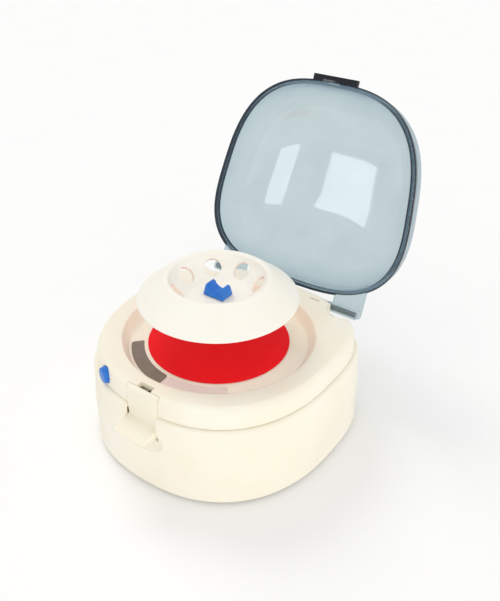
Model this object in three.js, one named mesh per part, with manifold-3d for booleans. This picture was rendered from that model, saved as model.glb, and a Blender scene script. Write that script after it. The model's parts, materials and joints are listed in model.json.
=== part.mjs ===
// A mini laboratory centrifuge: a rounded two-part housing, a bowl-shaped chamber,
// a hooded eight-place rotor on a motor shaft, a clear domed lid on rear hinge pins,
// a rocking front latch and a round push button.
//
// Units are millimetres. +Z is up, -Y is the front (the latch side), X = Y = 0 is the rotor axis.
// Heights in this file are measured from the table; the exported group is lowered so that
// its origin lies on the flat underside of the housing.
// The lid stands open; turning it by LID_OPENING about +X closes it.

import * as THREE from "three";
import { mergeVertices } from "three/addons/utils/BufferGeometryUtils.js";
import Module from "manifold-3d";

const wasm = await Module();
wasm.setup();

// ---- Driving dimensions ----

const WALL = 2.5; // moulded wall thickness
const GAP = 0.3; // clearance between fixed neighbours
const DEGREE = Math.PI / 180;
const RING_POINTS = 36; // points round each large outline

// Plan outlines: half sizes from a centre on the Y axis, with a squareness power for each half.
const BODY = { side: 74.2, front: 80.9, rear: 66.5, centre: 8.8, frontPower: 2.35, rearPower: 3.1 };
const SEAT = { side: 70.7, front: 76.9, rear: 63.5, centre: 8.8, frontPower: 2.28, rearPower: 2.6 };
const LID = { side: 72.8, front: 68, rear: 68, centre: 0.2, frontPower: 2.89, rearPower: 2.89, taper: 0.116 };

const UNDERSIDE = 2; // table to the flat underside of the housing
const FLOOR_TOP = 4.8; // inside floor of the lower housing
const PARTING = 54.7; // middle of the joint between the two housings
const SHOULDER = 61; // where the outer wall starts to round over
const SEAT_HEIGHT = 68.1; // ridge that the lid rests on
const DECK_THICKNESS = 2.9;
const CHAMBER = { rim: 59.7, rimHeight: 67.3, floor: 55.6, floorHeight: 60 };
const DISC = { radius: 44.2, base: 61.9, edge: 62.6, crown: 65.6, bore: 7 };

const HINGE = { y: 72.4, z: 62.7, pin: 1.6, inner: 26.3, arm: 36.2, armEnd: 57.3, boss: 3.1 };
const LID_OPENING = 110.3 * DEGREE;
const LID_PLANE = SEAT_HEIGHT + GAP;
const FLANGE = 3; // thickness of the lid's edge flange
const DOME = { rise: 43, inset: 1, wall: 2.2, sidePower: 2.55, crownPower: 2.7 };

const ROTOR = { rim: 49, rimHeight: 94.2, crest: 31, crestHeight: 108.4, wall: 2.2, bowlHeight: 95 };
const TUBES = { count: 8, circle: 24.5, height: 99.8, radius: 5.6, tilt: 45 * DEGREE };
const SHAFT = { radius: 2, top: ROTOR.bowlHeight - ROTOR.wall - 0.4 };
const KNOB = { halfLength: 7.2, halfDepth: 5.2, height: 7.1, trough: 5.1 };

const LATCH = { halfWidth: 11.5, slit: 0.4, pinY: -63.2, pinZ: 57.6, pin: 1.2, back: -69.4, ledgeTip: -86 };
const HOOK = { halfWidth: 4, front: -67.6, thickness: 1.6, foot: 59.7, lip: 16, lipReach: -71.2 };
const BUTTON = { angle: -113.7 * DEGREE, height: 60.9, radius: 5, proud: 2.6, depth: 4.2 };
const MOTOR = { radius: 18, base: 20, top: 54.1, boltCircle: 20.5 };
const FEET = [
  ["front_left", -50, -38],
  ["front_right", 50, -38],
  ["rear_left", -48, 54],
  ["rear_right", 48, 54],
];
const SCREW_INSET = 11; // each housing screw stands this far inboard of its foot

// ---- Solids ----

function solidOf(geometry) {
  const bare = geometry.clone();
  bare.deleteAttribute("normal");
  bare.deleteAttribute("uv");
  const merged = mergeVertices(bare, 1e-4);
  const corners = merged.index.array;
  const triangles = [];
  for (let i = 0; i < corners.length; i += 3) {
    const [a, b, c] = [corners[i], corners[i + 1], corners[i + 2]];
    if (a !== b && b !== c && c !== a) triangles.push(a, b, c);
  }
  const vertProperties = new Float32Array(merged.attributes.position.array);
  const make = (list) =>
    new wasm.Manifold(new wasm.Mesh({ numProp: 3, vertProperties, triVerts: new Uint32Array(list) }));
  const solid = make(triangles);
  return solid.volume() < 0 ? make(triangles.reverse()) : solid;
}

function geometryOf(solid) {
  const mesh = solid.getMesh();
  const geometry = new THREE.BufferGeometry();
  geometry.setAttribute("position", new THREE.BufferAttribute(new Float32Array(mesh.vertProperties), 3));
  geometry.setIndex(new THREE.BufferAttribute(new Uint32Array(mesh.triVerts), 1));
  geometry.computeVertexNormals();
  return geometry;
}

const join = (first, ...others) => others.reduce((sum, other) => sum.add(other), first);
const cut = (first, ...tools) => tools.reduce((rest, tool) => rest.subtract(tool), first);

function block(x0, x1, y0, y1, z0, z1) {
  const box = new THREE.BoxGeometry(x1 - x0, y1 - y0, z1 - z0);
  return solidOf(box.translate((x0 + x1) / 2, (y0 + y1) / 2, (z0 + z1) / 2));
}

// A block on the left (side -1) or right (side 1), between two distances from the middle.
function sideBlock(side, near, far, ...rest) {
  const [x0, x1] = [side * near, side * far].sort((a, b) => a - b);
  return block(x0, x1, ...rest);
}

// An upright rod.
function rod(radius, z0, z1, x = 0, y = 0, sides = 16) {
  const cylinder = new THREE.CylinderGeometry(radius, radius, z1 - z0, sides);
  return solidOf(cylinder.rotateX(Math.PI / 2).translate(x, y, (z0 + z1) / 2));
}

// A rod along X.
function crossRod(radius, x0, x1, y, z, sides = 16) {
  const cylinder = new THREE.CylinderGeometry(radius, radius, x1 - x0, sides);
  return solidOf(cylinder.rotateZ(Math.PI / 2).translate((x0 + x1) / 2, y, z));
}

// A turned solid about the Z axis; the profile lists [radius, height] and closes on itself or the axis.
function turned(profile, segments = 48) {
  const points = profile.map(([radius, height]) => new THREE.Vector2(radius, height));
  if (profile[0][0] > 0) points.push(points[0].clone());
  return solidOf(new THREE.LatheGeometry(points, segments).rotateX(Math.PI / 2));
}

// A slab with a [y, z] profile, running along X.
function slab(profile, x0, x1) {
  const shape = new THREE.Shape(profile.map(([y, z]) => new THREE.Vector2(y, z)));
  const extruded = new THREE.ExtrudeGeometry(shape, { depth: x1 - x0, bevelEnabled: false });
  const turn = new THREE.Matrix4().makeBasis(
    new THREE.Vector3(0, 1, 0),
    new THREE.Vector3(0, 0, 1),
    new THREE.Vector3(1, 0, 0),
  );
  return solidOf(extruded.applyMatrix4(turn).translate(x0, 0, 0));
}

// Points of an arc in a [y, z] profile, both ends included.
function arc(y, z, radiusY, radiusZ, from, to, steps) {
  return Array.from({ length: steps + 1 }, (_, i) => {
    const angle = from + ((to - from) * i) / steps;
    return [y + radiusY * Math.cos(angle), z + radiusZ * Math.sin(angle)];
  });
}

// A cable or wire of the given radius through the listed points.
function cable(radius, points, steps = 14) {
  const path = new THREE.CatmullRomCurve3(points.map((point) => new THREE.Vector3(...point)));
  return tube(path, radius, steps, 6);
}

function tube(path, radius, steps, sides) {
  const section = new THREE.Shape();
  for (let i = 0; i < sides; i++) {
    const angle = (2 * Math.PI * i) / sides;
    section[i ? "lineTo" : "moveTo"](radius * Math.cos(angle), radius * Math.sin(angle));
  }
  return solidOf(new THREE.ExtrudeGeometry(section, { steps, extrudePath: path, bevelEnabled: false }));
}

// ---- Outlines and lofts ----

function outlinePoint(plan, angle, grow, scale = 1) {
  const c = Math.cos(angle);
  const s = Math.sin(angle);
  const depth = s < 0 ? plan.front : plan.rear;
  const power = s < 0 ? plan.frontPower : plan.rearPower;
  const reach = (Math.abs(c / plan.side) ** power + Math.abs(s / depth) ** power) ** (-1 / power);
  const radius = (reach + grow) * scale;
  const spread = 1 + ((plan.taper ?? 0) * radius * s) / depth;
  return new THREE.Vector2(radius * c * spread, plan.centre + radius * s);
}

function circle(radius) {
  return { side: radius, front: radius, rear: radius, centre: 0, frontPower: 2, rearPower: 2 };
}

function ring(plan, grow, height, scale = 1) {
  return Array.from({ length: RING_POINTS }, (_, i) => {
    const point = outlinePoint(plan, (2 * Math.PI * i) / RING_POINTS, grow, scale);
    return new THREE.Vector3(point.x, point.y, height);
  });
}

// Rings along a quarter ellipse that rounds from one ring over to a higher, smaller one.
function roundOver(low, high, steps) {
  return Array.from({ length: steps }, (_, i) => {
    const angle = (Math.PI / 2) * ((i + 1) / steps);
    return low.map((point, k) => {
      const inward = 1 - Math.cos(angle);
      const upward = Math.sin(angle);
      const x = point.x + (high[k].x - point.x) * inward;
      const y = point.y + (high[k].y - point.y) * inward;
      return new THREE.Vector3(x, y, point.z + (high[k].z - point.z) * upward);
    });
  });
}

// Skins a stack of rings; the ends are capped, or joined to each other when the stack is a loop.
function loft(rings, loop = false) {
  const count = RING_POINTS;
  const points = rings.flat();
  const faces = [];
  const bands = loop ? rings.length : rings.length - 1;
  for (let j = 0; j < bands; j++) {
    const low = j * count;
    const high = ((j + 1) % rings.length) * count;
    for (let i = 0; i < count; i++) {
      const next = (i + 1) % count;
      faces.push(low + i, low + next, high + next, low + i, high + next, high + i);
    }
  }
  if (!loop) {
    for (const [start, order] of [[0, 1], [(rings.length - 1) * count, -1]]) {
      const middle = points.length;
      const sum = points.slice(start, start + count).reduce((a, b) => a.clone().add(b));
      points.push(sum.divideScalar(count));
      for (let i = 0; i < count; i++) {
        const next = (i + 1) % count;
        faces.push(middle, start + (order > 0 ? next : i), start + (order > 0 ? i : next));
      }
    }
  }
  const geometry = new THREE.BufferGeometry().setFromPoints(points);
  geometry.setIndex(faces);
  return solidOf(geometry);
}

// ---- Placing pieces ----

const machine = new THREE.Group();
machine.position.z = -UNDERSIDE;
const model = new THREE.Group();
model.add(machine);

const MATERIALS = {
  cream: { color: 0xf1ece0, roughness: 0.42, metalness: 0 },
  red: { color: 0xe01020, roughness: 0.55, metalness: 0 },
  blue: { color: 0x1c6fd0, roughness: 0.38, metalness: 0 },
  smoked: { color: 0x9fb8c2, roughness: 0.08, metalness: 0 },
  taupe: { color: 0x8b7a6b, roughness: 0.6, metalness: 0 },
  pale: { color: 0xf3e2dd, roughness: 0.6, metalness: 0 },
  steel: { color: 0xb9bcc0, roughness: 0.3, metalness: 1 },
  rubber: { color: 0x26272a, roughness: 0.85, metalness: 0 },
  black: { color: 0x1b1c1f, roughness: 0.5, metalness: 0 },
  board: { color: 0x1f6b3c, roughness: 0.5, metalness: 0 },
};

function piece(name, look, solid, parent = machine) {
  const mesh = new THREE.Mesh(geometryOf(solid), new THREE.MeshStandardMaterial(MATERIALS[look]));
  mesh.name = name;
  parent.add(mesh);
  return mesh;
}

// ---- Housing ----

const bodyRing = (grow, height) => ring(BODY, grow, height);

// Outer wall of the upper housing, from the parting line to the seat ridge.
function upperWallRings() {
  const shoulder = bodyRing(0.2, SHOULDER);
  const ridge = ring(SEAT, 0, SEAT_HEIGHT);
  return [bodyRing(0.4, PARTING + GAP / 2), shoulder, ...roundOver(shoulder, ridge, 5)];
}

// Outer wall of the lower housing, from its underside to the parting line.
function lowerWallRings() {
  const chest = bodyRing(3.1, 51.3);
  return [
    bodyRing(4, UNDERSIDE),
    bodyRing(5, 3),
    bodyRing(4.8, 7),
    bodyRing(4.3, 18),
    bodyRing(4.6, 28.6),
    bodyRing(3.9, 38),
    chest,
    ...roundOver(chest, bodyRing(0.7, PARTING - GAP / 2), 3),
  ];
}

const lowerSolid = loft(lowerWallRings());
const upperSolid = loft(upperWallRings());

// The opening that the latch stands in, with its slit on each side, and the slot for the lid's hook.
function latchOpening() {
  const half = LATCH.halfWidth + LATCH.slit;
  const slot = HOOK.halfWidth + 1;
  return join(
    block(-half, half, -100, LATCH.back + GAP, 37, 90),
    block(-half, half, -70, -65, 37, 61),
    block(-slot, slot, -70, HOOK.front + HOOK.thickness + 0.6, 60, 90),
  );
}

// A cylinder across the button's centre line, from depth "from" to "to" along the outward normal.
function alongButton(radius, from, to, sides) {
  const cylinder = new THREE.CylinderGeometry(radius, radius, to - from, sides);
  cylinder.rotateX(Math.PI / 2).translate(0, 0, (from + to) / 2);
  return solidOf(cylinder.applyMatrix4(buttonFrame()));
}

// A frame at the button's place on the wall, with its Z axis along the outward normal.
function buttonFrame() {
  const step = 0.01;
  const spot = outlinePoint(BODY, BUTTON.angle, 0.3);
  const before = outlinePoint(BODY, BUTTON.angle - step, 0.3);
  const after = outlinePoint(BODY, BUTTON.angle + step, 0.3);
  const normal = new THREE.Vector3(after.y - before.y, before.x - after.x, 0).normalize();
  const side = new THREE.Vector3(0, 0, 1).cross(normal);
  return new THREE.Matrix4()
    .makeBasis(side, normal.clone().cross(side), normal)
    .setPosition(spot.x, spot.y, BUTTON.height);
}

function upperHousing() {
  const underDeck = SEAT_HEIGHT - DECK_THICKNESS;
  const inner = [
    ring(circle(CHAMBER.rim), 0.6, CHAMBER.rimHeight + 0.7),
    ring(circle(CHAMBER.rim), 0, CHAMBER.rimHeight),
    ring(circle(CHAMBER.floor), 0.6, CHAMBER.floorHeight + 0.8),
    ring(circle(CHAMBER.floor), -0.4, CHAMBER.floorHeight),
    ring(circle(DISC.radius), 1, DISC.base - GAP),
    ring(circle(DISC.bore), 4, DISC.base - GAP),
    ring(circle(DISC.bore), 4, DISC.base - GAP - WALL),
    ring(circle(DISC.radius), 1.4, DISC.base - GAP - WALL),
    ring(circle(CHAMBER.floor), 0.6, CHAMBER.floorHeight - WALL),
    ring(circle(CHAMBER.floor), 3, CHAMBER.floorHeight - 0.6),
    ring(circle(CHAMBER.rim), 2.6, underDeck),
    bodyRing(-3.4, underDeck),
    bodyRing(0.2 - WALL, SHOULDER),
    bodyRing(0.4 - WALL, PARTING + GAP / 2),
  ];
  const shell = loft([...upperWallRings(), ...inner], true);
  const half = LATCH.halfWidth + LATCH.slit;
  const additions = [];
  const openings = [
    latchOpening(),
    crossRod(LATCH.pin + GAP, -16.6, 16.6, LATCH.pinY, LATCH.pinZ),
    alongButton(BUTTON.radius + 0.4, -7, 12, 20),
    block(25.5, 32.7, 65.6, 67.1, 58, 90),
  ];
  const knuckleEnd = HINGE.arm - 0.6;
  for (const side of [-1, 1]) {
    const knuckle = [side * (HINGE.inner - 2.3), side * knuckleEnd].sort((a, b) => a - b);
    const bore = [side * (HINGE.inner - 0.4), side * 40].sort((a, b) => a - b);
    const inBody = [
      sideBlock(side, HINGE.inner - 2.3, knuckleEnd, 69.2, 90, 54, 67),
      sideBlock(side, 34.4, 66, 53.6, 90, 54, 67),
      sideBlock(side, half + 0.5, 17.4, -69.6, -60.4, 55, 60.6),
    ];
    additions.push(...inBody.map((solid) => solid.intersect(upperSolid)));
    additions.push(crossRod(HINGE.boss, ...knuckle, HINGE.y, HINGE.z));
    openings.push(sideBlock(side, knuckleEnd, 90, 68.2, 95, 56.4, 90));
    openings.push(rod(10, 56.4, 90, side * 50, 66, 32));
    openings.push(crossRod(HINGE.pin + GAP, ...bore, HINGE.y, HINGE.z));
  }
  for (const [x, y] of motorBolts()) openings.push(rod(1.7, 55, 66, x, y, 12));
  for (const [, x, y] of FEET) {
    const [px, py] = screwPlace(x, y);
    const underChamber = Math.hypot(px, py) < CHAMBER.floor;
    const top = underChamber ? CHAMBER.floorHeight - 1 : underDeck + 0.5;
    additions.push(cut(rod(4.2, 8.4, top, px, py, 16), rod(1.9, 8, 24, px, py, 12)));
  }
  return cut(join(shell, ...additions), ...openings);
}

const screwPlace = (x, y) => [x - Math.sign(x) * SCREW_INSET, y];

// The hollow under and beside the latch ledge that a thumb reaches into.
function thumbScoop(extra) {
  const ball = new THREE.SphereGeometry(1, 20, 12);
  return solidOf(ball.scale(28 + extra, 14 + extra, 12 + extra).translate(0, -86, 38));
}

function lowerHousing() {
  const inside = [
    bodyRing(0.7 - WALL, PARTING - GAP / 2),
    bodyRing(0.6, 50),
    bodyRing(3.9 - WALL, 38),
    bodyRing(4.6 - WALL, 28.6),
    bodyRing(4.3 - WALL, 12),
    bodyRing(0.6, FLOOR_TOP),
  ];
  const shell = loft([...lowerWallRings(), ...inside]);
  const scoopBacking = thumbScoop(WALL).intersect(lowerSolid);
  const additions = [scoopBacking, ...boardPosts().map(([x, y]) => rod(2.6, 4.5, 9.7, x, y, 12))];
  const openings = [
    latchOpening(),
    thumbScoop(0),
    inletOpening(),
  ];
  for (const [, x, y] of FEET) {
    const [px, py] = screwPlace(x, y);
    additions.push(rod(6, 4.5, 8.1, px, py, 20));
    openings.push(rod(3.6, 0, 5.4, px, py, 20), rod(1.9, 0, 9, px, py, 12), rod(2.5, 0, 6, x, y, 16));
  }
  return cut(join(shell, ...additions), ...openings);
}

function foot(x, y) {
  const seat = UNDERSIDE - 0.2;
  const profile = [[0, 0], [7.4, 0], [8, 0.6], [8, seat], [2.1, seat], [2.1, 6], [0, 6]];
  return turned(profile, 20).translate(x, y, 0);
}

function housingScrew(x, y) {
  return turned([[0, 2.6], [3.2, 2.6], [3.2, 5.1], [1.5, 5.1], [1.5, 20], [0, 20]], 12).translate(x, y, 0);
}

// ---- Chamber ----

function chamberDisc() {
  const { radius, base, edge, crown, bore } = DISC;
  const crownArc = [0.75, 0.5, 0.25, 0].map((f) => {
    const r = bore + (radius - 0.5 - bore) * f;
    return [r, crown - (crown - edge) * f * f];
  });
  const profile = [[radius, base], [radius, edge - 0.4], [radius - 0.5, edge], ...crownArc];
  return turned([...profile, [bore, base + 1.7], [30, base + 1.7], [34, base]], 36);
}

// A thin curved label that lies on the sloping chamber floor between two angles.
function floorLabel(fromDegrees, toDegrees) {
  const inner = { r: DISC.radius + 2.4, z: 61.34 };
  const outer = { r: CHAMBER.floor - 0.9, z: 60.15 };
  const lift = 0.12;
  const thickness = 0.3;
  const band = turned(
    [
      [inner.r, inner.z + lift],
      [outer.r, outer.z + lift],
      [outer.r, outer.z + lift + thickness],
      [inner.r, inner.z + lift + thickness],
    ],
    60,
  );
  const reach = CHAMBER.rim * 1.3;
  const [from, to] = [fromDegrees * DEGREE, toDegrees * DEGREE];
  const wedge = new THREE.Shape();
  wedge.moveTo(0, 0);
  wedge.lineTo(reach * Math.cos(from), reach * Math.sin(from));
  wedge.absarc(0, 0, reach, from, to, false);
  const prism = new THREE.ExtrudeGeometry(wedge, { depth: 80, bevelEnabled: false });
  return band.intersect(solidOf(prism));
}

// ---- Drive ----

function motorBolts() {
  return [90, 210, 330].map((degrees) => [
    MOTOR.boltCircle * Math.cos(degrees * DEGREE),
    MOTOR.boltCircle * Math.sin(degrees * DEGREE),
  ]);
}

function motor() {
  const { radius, base, top } = MOTOR;
  const can = turned([[0, base], [radius - 1.5, base], [radius, base + 1.5], [radius, top - 1.5],
    [radius - 1.5, top], [6, top], [6, 58], [0, 58]], 28);
  return cut(can, rod(SHAFT.radius + 0.4, 30, 60));
}

function motorBracket() {
  const plate = rod(25, 54.4, 56.5, 0, 0, 28);
  const holes = motorBolts().map(([x, y]) => rod(1.7, 50, 60, x, y, 12));
  return cut(plate, rod(6.4, 50, 60, 0, 0, 24), ...holes);
}

function motorMount(x, y) {
  const [inner, waist, outer] = [1.7, 3.4, 4.2];
  const groove = [[outer, 57.3], [waist, 57.85], [outer, 58.4]];
  const profile = [[inner, 56.8], [outer, 56.8], ...groove, [outer, 58.8], [inner, 58.8]];
  return turned(profile, 12).translate(x, y, 0);
}

function motorScrew(x, y) {
  const head = DISC.base - 0.1;
  return turned([[0, 52.6], [1.3, 52.6], [1.3, head], [2.6, head], [2.4, head + 1.3], [0, head + 1.3]], 12)
    .translate(x, y, 0);
}

function rotorHood() {
  const { rim, rimHeight, crest, crestHeight, bowlHeight, wall } = ROTOR;
  const bore = 3.1;
  const top = [
    [rim, rimHeight - 0.3],
    [rim - 0.1, rimHeight + 0.6],
    [rim - 1.5, rimHeight + 2.3],
    [crest + 3.6, crestHeight - 1.9],
    [crest + 1.6, crestHeight - 0.5],
    [crest, crestHeight],
    [crest - 1.6, crestHeight - 0.6],
    [crest - 2.7, TUBES.height + 3.8],
    [TUBES.circle - 3.8, TUBES.height - 3.8],
    [TUBES.circle - 5.4, bowlHeight + 0.2],
    [TUBES.circle - 7.5, bowlHeight],
    [bore, bowlHeight],
  ];
  const under = [
    [bore, bowlHeight - wall],
    [TUBES.circle - 6.8, bowlHeight - wall],
    [TUBES.circle - 4, bowlHeight - wall + 0.5],
    [TUBES.circle + 6.8, TUBES.height + 3.6],
    [crest + 2.6, crestHeight - 4.4],
    [rim - 3.2, rimHeight + 0.8],
    [rim - 1.6, rimHeight - 0.5],
  ];
  return cut(turned([...top, ...under], 32), ...tubeHoles());
}

function tubeHoles() {
  return Array.from({ length: TUBES.count }, (_, i) => {
    const hole = new THREE.CylinderGeometry(TUBES.radius, TUBES.radius, 8, 14);
    hole.rotateX(Math.PI / 2).rotateY(-TUBES.tilt).translate(TUBES.circle, 0, TUBES.height);
    return solidOf(hole.rotateZ((2 * Math.PI * i) / TUBES.count));
  });
}

function rotorHub() {
  const bore = SHAFT.radius + 0.4;
  const { top } = SHAFT;
  return turned([[bore, 67.8], [8, 67.8], [8.6, 68.6], [8.6, 82], [6.8, 86], [6.8, top], [bore, top]], 24);
}

// A thumb grip over a threaded stem: a tapered bar with a round trough across it, which leaves two ears.
function rotorKnob() {
  const { halfLength, halfDepth, height, trough } = KNOB;
  const base = ROTOR.bowlHeight + GAP;
  const top = base + height;
  const mirrored = (half) => [...half, ...half.map(([across, z]) => [-across, z]).reverse()];
  const endView = mirrored([[halfDepth, base], [halfDepth - 1, top - 1.2], [halfDepth - 2, top]]);
  const outer = mirrored([[halfLength, base], [halfLength - 0.2, base + 1.5], [halfLength - 1.2, top]]);
  const bar = slab(endView, -halfLength, halfLength).intersect(
    slab(outer, -halfDepth, halfDepth).rotate([0, 0, 90]),
  );
  const groove = new THREE.CylinderGeometry(trough, trough, 30, 24).translate(0, 0, top);
  const stem = rod(2.6, base - 2.4, base + 0.5, 0, 0, 16);
  return join(cut(bar, solidOf(groove)), stem);
}

// ---- Lid, modelled closed ----

function domeRings(rise, inset, base, fromCrown) {
  const steps = 8;
  const rings = Array.from({ length: steps }, (_, i) => {
    const angle = ((Math.PI / 2) * i) / steps;
    const height = base + rise * Math.sin(angle) ** (2 / DOME.sidePower);
    return ring(LID, -inset, height, Math.cos(angle) ** (2 / DOME.crownPower));
  });
  rings.push(ring(LID, -inset, base + rise, 0.06));
  return fromCrown ? rings.reverse() : rings;
}

function hingeArm(x0, x1) {
  const { y, z, boss } = HINGE;
  const top = LID_PLANE + FLANGE;
  const front = 50;
  const rear = y + 3.2;
  const profile = [
    [front, LID_PLANE],
    [y - 1.8, LID_PLANE],
    ...arc(y, z, boss, boss, Math.PI, Math.PI * 2.18, 12),
    [rear, z + 4],
    [rear, top - 1],
    [rear - 1, top],
    [front, top],
  ];
  return cut(slab(profile, x0, x1), crossRod(HINGE.pin + 0.4, x0 - 1, x1 + 1, y, z, 20));
}

function lid() {
  const top = LID_PLANE + FLANGE;
  const innerInset = DOME.inset + DOME.wall;
  const shell = loft([
    ...domeRings(DOME.rise, DOME.inset, top, true),
    ring(LID, -0.4, top),
    ring(LID, 0, top - 0.5),
    ring(LID, 0, LID_PLANE + 0.4),
    ring(LID, -0.4, LID_PLANE),
    ring(LID, -innerInset, LID_PLANE),
    ...domeRings(DOME.rise - DOME.wall, innerInset, top, false),
  ]);
  const hollow = loft([
    ring(LID, -innerInset, LID_PLANE - 20),
    ...domeRings(DOME.rise - DOME.wall, innerInset, top, false),
  ]);
  const arms = [
    hingeArm(HINGE.arm, HINGE.armEnd),
    hingeArm(-HINGE.armEnd, -HINGE.arm),
  ].map((arm) => cut(arm, hollow));
  const lip = cut(block(-HOOK.lip, HOOK.lip, HOOK.lipReach, -60, LID_PLANE, top), hollow);
  const hook = slab([
    [HOOK.front, LID_PLANE + 1],
    [HOOK.front, HOOK.foot + 2.2],
    [HOOK.front - 0.6, HOOK.foot + 1.4],
    [HOOK.front, HOOK.foot],
    [HOOK.front + HOOK.thickness, HOOK.foot],
    [HOOK.front + HOOK.thickness, LID_PLANE + 1],
  ], -HOOK.halfWidth, HOOK.halfWidth);
  return join(shell, ...arms, lip, hook);
}

// ---- Latch ----

// A rocker: pressing the ledge down tips the upper end outwards and frees the lid's hook.
function latchLever() {
  const { halfWidth, back, pinY, pinZ, pin, ledgeTip } = LATCH;
  const front = -72.4;
  const ridge = { y: -68.2, height: 6.8 };
  const shoulder = arc(ridge.y, SHOULDER, ridge.y - front, ridge.height, Math.PI, Math.PI * 0.592, 5);
  const plate = slab([
    [-71.6, 46.4],
    ...shoulder,
    [back, 40],
    [-71, 40],
    [-76, 40.7],
    [ledgeTip + 1, 42.4],
    [ledgeTip, 43.3],
    [ledgeTip + 0.3, 44.4],
    [-73.2, 45.9],
  ], -halfWidth, halfWidth);
  const noseTip = HOOK.front - 1;
  const nose = slab([
    [back - 1, HOOK.foot + 3.4],
    [back, HOOK.foot + 3.4],
    [noseTip, HOOK.foot + 2.1],
    [noseTip, HOOK.foot + 1.3],
    [back, HOOK.foot - 1],
    [back - 1, HOOK.foot - 1],
  ], 0.6 - HOOK.halfWidth, HOOK.halfWidth - 0.6);
  const eye = arc(pinY, pinZ, 2.8, 2.8, Math.PI / 2, -Math.PI / 2, 8);
  const lug = (x0, x1) => {
    const web = slab([[back - 1, pinZ + 4], ...eye, [back - 1, pinZ - 4]], x0, x1);
    return cut(web, crossRod(pin + 0.4, x0 - 1, x1 + 1, pinY, pinZ));
  };
  return join(plate, nose, lug(5, 8.6), lug(-8.6, -5));
}

class Coil extends THREE.Curve {
  constructor(radius, length, turns) {
    super();
    Object.assign(this, { radius, length, turns });
  }

  getPoint(t, target = new THREE.Vector3()) {
    const angle = 2 * Math.PI * this.turns * t;
    const along = (t - 0.5) * this.length;
    return target.set(along, this.radius * Math.cos(angle), this.radius * Math.sin(angle));
  }
}

function latchSpring() {
  return tube(new Coil(2.25, 7.4, 4), 0.35, 36, 4).translate(0, LATCH.pinY, LATCH.pinZ);
}

// ---- Controls and electrics ----

function powerButton() {
  const { radius, depth, proud } = BUTTON;
  const face = [[radius, proud - 1.2], [radius - 1.4, proud], [0, proud]];
  const cap = turned([[0, -depth], [radius, -depth], ...face], 20);
  return cap.transform([...buttonFrame().elements]);
}

// A box on the button's centre line behind it.
function powerSwitch() {
  const thickness = 4;
  const box = new THREE.BoxGeometry(8, 7, thickness).translate(0, 0, -BUTTON.depth - 2 - thickness / 2);
  return solidOf(box.applyMatrix4(buttonFrame()));
}

const BOARD = { x0: -30, x1: 26, y0: 26, y1: 58, z: 10 };

function boardPosts() {
  const inset = 4;
  const xs = [BOARD.x0 + inset, BOARD.x1 - inset];
  const ys = [BOARD.y0 + inset, BOARD.y1 - inset];
  return xs.flatMap((x) => ys.map((y) => [x, y]));
}

function circuitBoard() {
  const plate = block(BOARD.x0, BOARD.x1, BOARD.y0, BOARD.y1, BOARD.z, BOARD.z + 1.6);
  const parts = [
    block(-24, -10, 32, 46, BOARD.z + 1, BOARD.z + 9),
    block(-4, 4, 44, 54, BOARD.z + 1, BOARD.z + 5),
    rod(4, BOARD.z + 1, BOARD.z + 13, 14, 36, 16),
    rod(3, BOARD.z + 1, BOARD.z + 9, 14, 49, 16),
  ];
  return join(plate, ...parts);
}

const INLET = { x: 0, z: 18, back: 62 };

function inletOpening() {
  return block(INLET.x - 5.6, INLET.x + 5.6, 70, 95, INLET.z - 5.6, INLET.z + 5.6);
}

// A barrel power socket set into the rear wall.
function powerInlet() {
  const face = BODY.centre + BODY.rear + 3.6;
  const bar = block(INLET.x - 5.3, INLET.x + 5.3, INLET.back, face, INLET.z - 5.3, INLET.z + 5.3);
  const well = new THREE.CylinderGeometry(3.2, 3.2, 14, 20).translate(INLET.x, face, INLET.z);
  const pin = new THREE.CylinderGeometry(1, 1, 10, 10).translate(INLET.x, face - 6, INLET.z);
  return join(cut(bar, solidOf(well)), solidOf(pin));
}

// ---- Assembly ----

piece("upper_housing", "cream", upperHousing());
piece("lower_housing", "cream", lowerHousing());
piece("chamber_disc", "red", chamberDisc());
piece("floor_label_dark", "taupe", floorLabel(-143, -92.6));
piece("floor_label_pale", "pale", floorLabel(-91.6, -47));

piece("motor", "steel", motor());
piece("motor_bracket", "steel", motorBracket());
motorBolts().forEach(([x, y], i) => {
  piece(`motor_mount_${i + 1}`, "rubber", motorMount(x, y));
  piece(`motor_screw_${i + 1}`, "steel", motorScrew(x, y));
});
piece("motor_shaft", "steel", rod(SHAFT.radius, 30.5, SHAFT.top, 0, 0, 16));
piece("rotor_hub", "cream", rotorHub());
piece("rotor_hood", "cream", rotorHood());
piece("rotor_knob", "blue", rotorKnob());

const lidFrame = new THREE.Group();
lidFrame.position.set(0, HINGE.y, HINGE.z);
lidFrame.rotation.x = -LID_OPENING;
machine.add(lidFrame);
piece("lid", "smoked", lid().translate(0, -HINGE.y, -HINGE.z), lidFrame);
piece("hinge_pin_left", "steel", crossRod(HINGE.pin, -HINGE.armEnd, -HINGE.inner, HINGE.y, HINGE.z));
piece("hinge_pin_right", "steel", crossRod(HINGE.pin, HINGE.inner, HINGE.armEnd, HINGE.y, HINGE.z));

piece("latch_lever", "cream", latchLever());
piece("latch_pin", "steel", crossRod(LATCH.pin, -16.2, 16.2, LATCH.pinY, LATCH.pinZ));
piece("latch_spring", "steel", latchSpring());

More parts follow.
